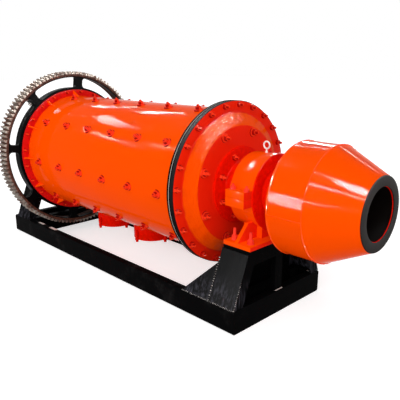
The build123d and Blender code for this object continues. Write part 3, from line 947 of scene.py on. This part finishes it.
class MILL_OT_bolts(bpy.types.Operator):
    """Liner bolts on the shell and heads, and the bolts of every flange"""

    bl_idname = "ball_mill.bolts"
    bl_label = "Bolts"

    def execute(self, context):
        sizes = context.scene.mill_sizes
        enamel = finish_of("bolt_enamel", bolt_enamel)
        feed_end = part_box("feed_end_beam")[1].x
        # Distances of the liner bolts from the feed end of the frame
        stations = (0.596, 0.879, 1.167, 1.450, 1.733, 2.036)
        ports = [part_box("port_1_neck"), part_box("port_2_neck")]
        gap = 0.02

        def on_port(place):
            spot = place.to_translation()
            return spot.z < mill_height and any(
                low.x - gap < spot.x < high.x + gap and low.y - gap < spot.y < high.y + gap
                for low, high in ports
            )

        places = [
            on_mill(feed_end - station, shell_radius, turn)
            for turn in turns(sizes.liner_rows, sizes.liner_first_turn)
            for station in stations
        ]
        places = [place for place in places if not on_port(place)]
        small = stud((0.029, 0.009), (0.0185, 0.020), (0.009, 0.010), 18)
        settle("liner_bolts", repeat(small, places), enamel)
        feed_low, feed_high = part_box("feed_head")
        discharge_low, discharge_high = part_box("discharge_head")
        ring, collar = sizes.head_flange_thickness, sizes.trunnion_flange_thickness
        # Count, first turn in degrees, reach, washer, nut
        head = (24, 10.5, sizes.head_bolt_reach, None, (0.018, 0.018))
        gear = (24, 9.0, sizes.gear_bolt_reach, None, (0.012, 0.012))
        face = (8, 24.8, sizes.face_bolt_reach, (0.03, 0.006), (0.019, 0.019))
        neck = (8, 22.5, sizes.trunnion_bolt_reach, None, (0.018, 0.018))
        low_neck = (8, 22.5, sizes.trunnion_bolt_reach, None, (0.018, 0.008))
        for name, x, way, (count, first, reach, washer, nut) in (
            ("feed_head_bolts", feed_low.x + ring, 1, head),
            ("discharge_head_bolts", discharge_high.x - ring, -1, head),
            ("gear_flange_bolts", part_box("gear_flange")[1].x, 1, gear),
            ("feed_face_bolts", feed_high.x, 1, face),
            ("discharge_face_bolts", discharge_low.x, -1, face),
            ("feed_trunnion_bolts", feed_high.x + collar, 1, neck),
            ("discharge_trunnion_bolts", discharge_low.x - collar, -1, low_neck),
        ):
            places = [on_mill(x, reach, turn, way * pi / 2) for turn in turns(count, radians(first))]
            small = stud(washer, nut, (0.009, nut[1] * 1.1))
            settle(name, repeat(small, places), enamel)
        return {"FINISHED"}


class MILL_OT_bearings(bpy.types.Operator):
    """Split bearings with their covers, bolts and lifting eyes"""

    bl_idname = "ball_mill.bearings"
    bl_label = "Bearings"

    def execute(self, context):
        sizes = context.scene.mill_sizes
        enamel = finish_of("bearing_enamel", orange_enamel, dents=0.0008, lumps=0.0003, gloss=0.015)
        red = deep_red()
        bolts = finish_of("stud_enamel", red_enamel, context.scene.mill_colours.stud_red)

        def on_fold(spot):
            turn = sizes.cap_fold_turn
            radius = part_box("feed_bearing_cap")[1].z - mill_height
            return (
                abs(abs(spot.y) - radius * sin(turn)) < 0.002
                and abs(spot.z - mill_height - radius * cos(turn)) < 0.002
            )

        eye = finish_of("plated_eye", plated_eye)
        roundings = {"bearing_base": 0.003, "bearing_cap": 0.003, "bearing_covers": 0.002}
        for end, way in (("feed", 1), ("discharge", -1)):
            for piece, rounding in roundings.items():
                node = f"{end}_{piece}"
                finish = red if piece == "bearing_covers" else enamel
                fold = on_fold if piece == "bearing_cap" else None
                settle(node + "_shape", copy_of(node, rounding), finish, [node], "frame", crisp=fold)
            node = end + "_lifting_eye"
            settle(end + "_eye_ring", lifting_ring(node), eye, [node], "frame")
            inner, outer = ends(end + "_bearing_covers", way)
            reach = outer_radius(end + "_bearing_covers") - 0.012
            places = [
                on_mill(x, reach, turn, lean)
                for x, lean in ((outer, way * pi / 2), (inner, -way * pi / 2))
                for turn in turns(8, radians(22.5))
            ]
            small = stud(None, (0.0075, 0.006), (0.003, 0.002))
            settle(end + "_cover_bolts", repeat(small, places), red, body="frame")
            frame_end = ends(end + "_pedestal_top", way)[1]
            ear_top = mill_height + sizes.ear_height
            sole_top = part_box(end + "_bearing_base")[0].z + sizes.sole_thickness
            cap_bolt = ((0.017, 0.004), (0.0145, 0.014), (0.008, 0.013))
            sole_bolt = ((0.022, 0.005), (0.018, 0.022), (0.010, 0.042))
            # Side, height, distances from the frame's end, parts of the bolt
            for row, aside, height, stations, bolt in (
                ("_cap_bolts", sizes.cap_bolt_side, ear_top, (0.065, 0.164), cap_bolt),
                ("_sole_bolts", sizes.sole_bolt_side, sole_top, (0.04, 0.16), sole_bolt),
            ):
                places = [
                    Matrix.Translation((frame_end - way * station, side * aside, height))
                    for side in (-1, 1)
                    for station in stations
                ]
                settle(end + row, repeat(stud(*bolt), places), bolts, body="frame")
        return {"FINISHED"}


class MILL_OT_base(bpy.types.Operator):
    """Channel frame and pedestals in black enamel, with their welds and bare patches"""

    bl_idname = "ball_mill.base"
    bl_label = "Base frame"

    def execute(self, context):
        sizes = context.scene.mill_sizes
        end_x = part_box("feed_end_beam")[1].x
        inner_y, rail_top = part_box("near_rail")[1].yz
        # Middle and size of the places where the paint is off
        beam_bare = [
            ((end_x - 0.015, 0.0, rail_top), (0.020, 0.075, 0.016)),
            ((end_x - 0.032, 0.415, rail_top), (0.05, 0.12, 0.016)),
        ]
        rail_bare = [
            ((-0.96, inner_y - 0.012, rail_top), (0.11, 0.030, 0.016)),
            ((-1.16, inner_y - 0.010, rail_top), (0.09, 0.024, 0.016)),
        ]
        leg_low, leg_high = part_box("feed_near_leg")
        rails = finish_of("rail_enamel", black_enamel, brushed=(0.15, 1.0, 1.0), dusty=1.8, bare=rail_bare)
        beams = finish_of("beam_enamel", black_enamel, brushed=(1.0, 0.15, 1.0), dusty=0.25, bare=beam_bare)
        # The legs' smears also paint a sheen low down
        legs = finish_of(
            "leg_enamel", black_enamel, brushed=(1.0, 1.0, 0.16), gloss=0.24, smears=0.8,
            smears_under=leg_high.z * 0.75,
        )
        inner = finish_of("post_enamel", black_enamel, brushed=(1.0, 1.0, 0.12), gloss=0.2, dusty=0.1)
        for ending, finish in (
            ("rail", rails),
            ("beam", beams),
            ("leg", legs),
            (("headers", "post", "pedestal_top"), inner),
        ):
            for node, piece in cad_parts.items():
                if node.endswith(ending):
                    piece.data.materials[0] = finish
        top_low, top_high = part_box("feed_pedestal_top")
        foot_y, top_y = leg_low.y, -top_high.y
        top, sole_x = top_high.z, top_low.x
        bead = sizes.weld_radius

        def on_leg(x, height, side):
            y = foot_y + (top_y - foot_y) * (height - rail_top) / (top - rail_top)
            return Vector((x, -side * y, height))

        runs = []
        for side in (-1, 1):
            inner_foot, outer_foot = on_leg(sole_x, rail_top, side), on_leg(leg_high.x, rail_top, side)
            runs += [
                weld([inner_foot, on_leg(sole_x, top * 0.85, side)], bead * 1.2, 2.6),
                weld([outer_foot, on_leg(leg_high.x, top * 0.65, side)], bead * 0.7, 3.2),
                weld([on_leg(leg_low.x, rail_top, side), outer_foot], bead, 2.6),
            ]
        metal = finish_of("weld_metal", weld_metal)
        settle("feed_leg_welds", join(runs), metal, body="frame")
        return {"FINISHED"}


class MILL_OT_stage(bpy.types.Operator):
    """White floor, studio lamps and the camera at the photograph's angle"""

    bl_idname = "ball_mill.stage"
    bl_label = "Stage"

    def execute(self, context):
        scene = context.scene
        white = Paint("floor_white")
        pale = white.finish(
            base_color=(0.75, 0.75, 0.75, 1.0),
            roughness=0.9,
            specular_ior_level=0.0,
            emission_color=(1.0, 1.0, 1.0, 1.0),
            emission_strength=white.watched() * 0.6,
        )
        bm = bmesh.new()
        bmesh.ops.create_grid(bm, x_segments=1, y_segments=1, size=40.0)
        mesh = bpy.data.meshes.new("floor")
        bm.to_mesh(mesh)
        bm.free()
        mesh.materials.append(pale)
        floor = bpy.data.objects.new("floor", mesh)
        scene.collection.objects.link(floor)

        sky = Paint("studio", "worlds", "Background")
        scene.world = sky.finish(color=(1.0, 1.0, 1.0, 1.0), strength=0.5 + 0.5 * sky.watched())

        for name, toward, energy, spread in (
            ("key", (0.45, -0.74, 0.5), 1.5, 70.0),
            ("fill", (0.25, -0.95, 0.2), 0.7, 40.0),
        ):
            sun = bpy.data.lights.new(name, "SUN")
            sun.energy = energy
            sun.angle = radians(spread)
            lamp = bpy.data.objects.new(name, sun)
            lamp.rotation_euler = Vector(toward).to_track_quat("Z", "Y").to_euler()
            scene.collection.objects.link(lamp)
        middle, feeder, head = (-0.1, -0.2, 1.1), (1.5, -0.2, 0.9), (0.7, -0.1, 1.0)
        # Aim, azimuth, elevation, distance, width, height, radiance
        windows = {
            "pane_1": (middle, 177, 33.8, 6.0, 0.30, 0.26, 60),
            "pane_2": (middle, 181.3, 34.6, 6.0, 0.36, 0.50, 130),
            "pane_3": (middle, 185.7, 34.8, 6.0, 0.36, 0.60, 100),
            "pane_4": (middle, 190, 35.4, 6.0, 0.30, 0.44, 60),
            "small_window": ((-0.92, -0.28, 1.1), 178.5, 29.5, 6.0, 0.8, 0.30, 28),
            "far_strip": (middle, 157, 27, 6.0, 1.2, 0.08, 150),
            "top_strip": ((0.2, -0.19, 1.16), 155, 33.5, 6.0, 1.2, 0.14, 190),
            "side_strip": ((0.0, -0.38, 1.0), 203.5, 26, 6.0, 1.3, 0.10, 260),
            "flange_strip": ((0.46, -0.39, 0.985), 210, 30.5, 6.0, 0.5, 0.10, 420),
            "overhead_lamp": (feeder, -41, 58, 4.5, 0.8, 1.10, 800),
            "near_lamp": (feeder, -59, 43, 4.5, 0.8, 0.28, 700),
            "low_lamp": (feeder, -67, 11, 4.5, 0.5, 0.15, 350),
            "side_window": ((1.3, -0.31, 0.8), -124.5, 4.5, 4.5, 0.45, 1.4, 420),
            "back_window": ((1.5, 0.0, 1.0), 97, 32, 4.5, 0.5, 0.16, 90),
            "drum_window": ((1.3, -0.1, 1.05), 133, 37, 4.5, 0.5, 0.10, 110),
            "drum_strip": ((1.3, 0.0, 1.06), 124, 20, 4.5, 0.5, 0.25, 200),
            "cap_window": ((0.95, -0.15, 0.91), 187, 50, 4.5, 1.9, 0.9, 420),
            "head_lamp": (head, 20, 34, 5.0, 3.0, 0.65, 800),
            "crown_lamp": (head, 52, 36, 5.0, 0.7, 0.7, 600),
            "brow_lamp": (head, 10, 8, 5.0, 1.6, 0.2, 700),
        }
        for name, (aim, azimuth, elevation, away, width, height, radiance) in windows.items():
            light = bpy.data.lights.new(name, "AREA")
            light.shape = "RECTANGLE"
            light.size = width
            light.size_y = height
            light.energy = radiance * pi * width * height
            flat = cos(radians(elevation))
            toward = Vector(
                (flat * cos(radians(azimuth)), flat * sin(radians(azimuth)), sin(radians(elevation)))
            )
            lamp = bpy.data.objects.new(name, light)
            lamp.visible_diffuse = False
            lamp.location = Vector(aim) + toward * away
            lamp.rotation_euler = toward.to_track_quat("Z", "Y").to_euler()
            scene.collection.objects.link(lamp)

        # Fitted to the frame's corners and the mill's circles
        camera = bpy.data.objects.new("camera", bpy.data.cameras.new("camera"))
        camera.data.sensor_width = 36.0
        camera.data.lens = 45.6
        camera.location = (2.7468, -2.3390, 1.4728)
        away = Vector((0.68592, -0.67931, 0.26083))
        camera.rotation_euler = away.to_track_quat("Z", "Y").to_euler()
        scene.collection.objects.link(camera)
        scene.camera = camera
        scene.view_settings.view_transform = "Standard"
        return {"FINISHED"}


# The add-on

OPERATORS = (
    MILL_OT_shell,
    MILL_OT_flanges,
    MILL_OT_heads,
    MILL_OT_trunnions,
    MILL_OT_feeder,
    MILL_OT_gear,
    MILL_OT_ports,
    MILL_OT_bolts,
    MILL_OT_bearings,
    MILL_OT_base,
    MILL_OT_stage,
)


class MILL_PT_sidebar(bpy.types.Panel):
    """Lists the pieces of the ball mill"""

    bl_idname = "MILL_PT_sidebar"
    bl_label = "Ball mill"
    bl_space_type = "VIEW_3D"
    bl_region_type = "UI"
    bl_category = "Ball mill"

    def draw(self, context):
        for group in (context.scene.mill_sizes, context.scene.mill_colours):
            for name in group.__annotations__:
                self.layout.prop(group, name)
        for operator in OPERATORS:
            self.layout.operator(operator.bl_idname)


CLASSES = (MillSizes, MillColours, *OPERATORS, MILL_PT_sidebar)


def register():
    for item in CLASSES:
        bpy.utils.register_class(item)
    bpy.types.Scene.mill_sizes = bpy.props.PointerProperty(type=MillSizes)
    bpy.types.Scene.mill_colours = bpy.props.PointerProperty(type=MillColours)


def unregister():
    del bpy.types.Scene.mill_colours
    del bpy.types.Scene.mill_sizes
    for item in reversed(CLASSES):
        bpy.utils.unregister_class(item)


def main():
    """Make every piece in order."""
    register()
    for operator in OPERATORS:
        getattr(bpy.ops.ball_mill, operator.bl_idname.split(".")[1])()


if __name__ == "__main__":
    main()
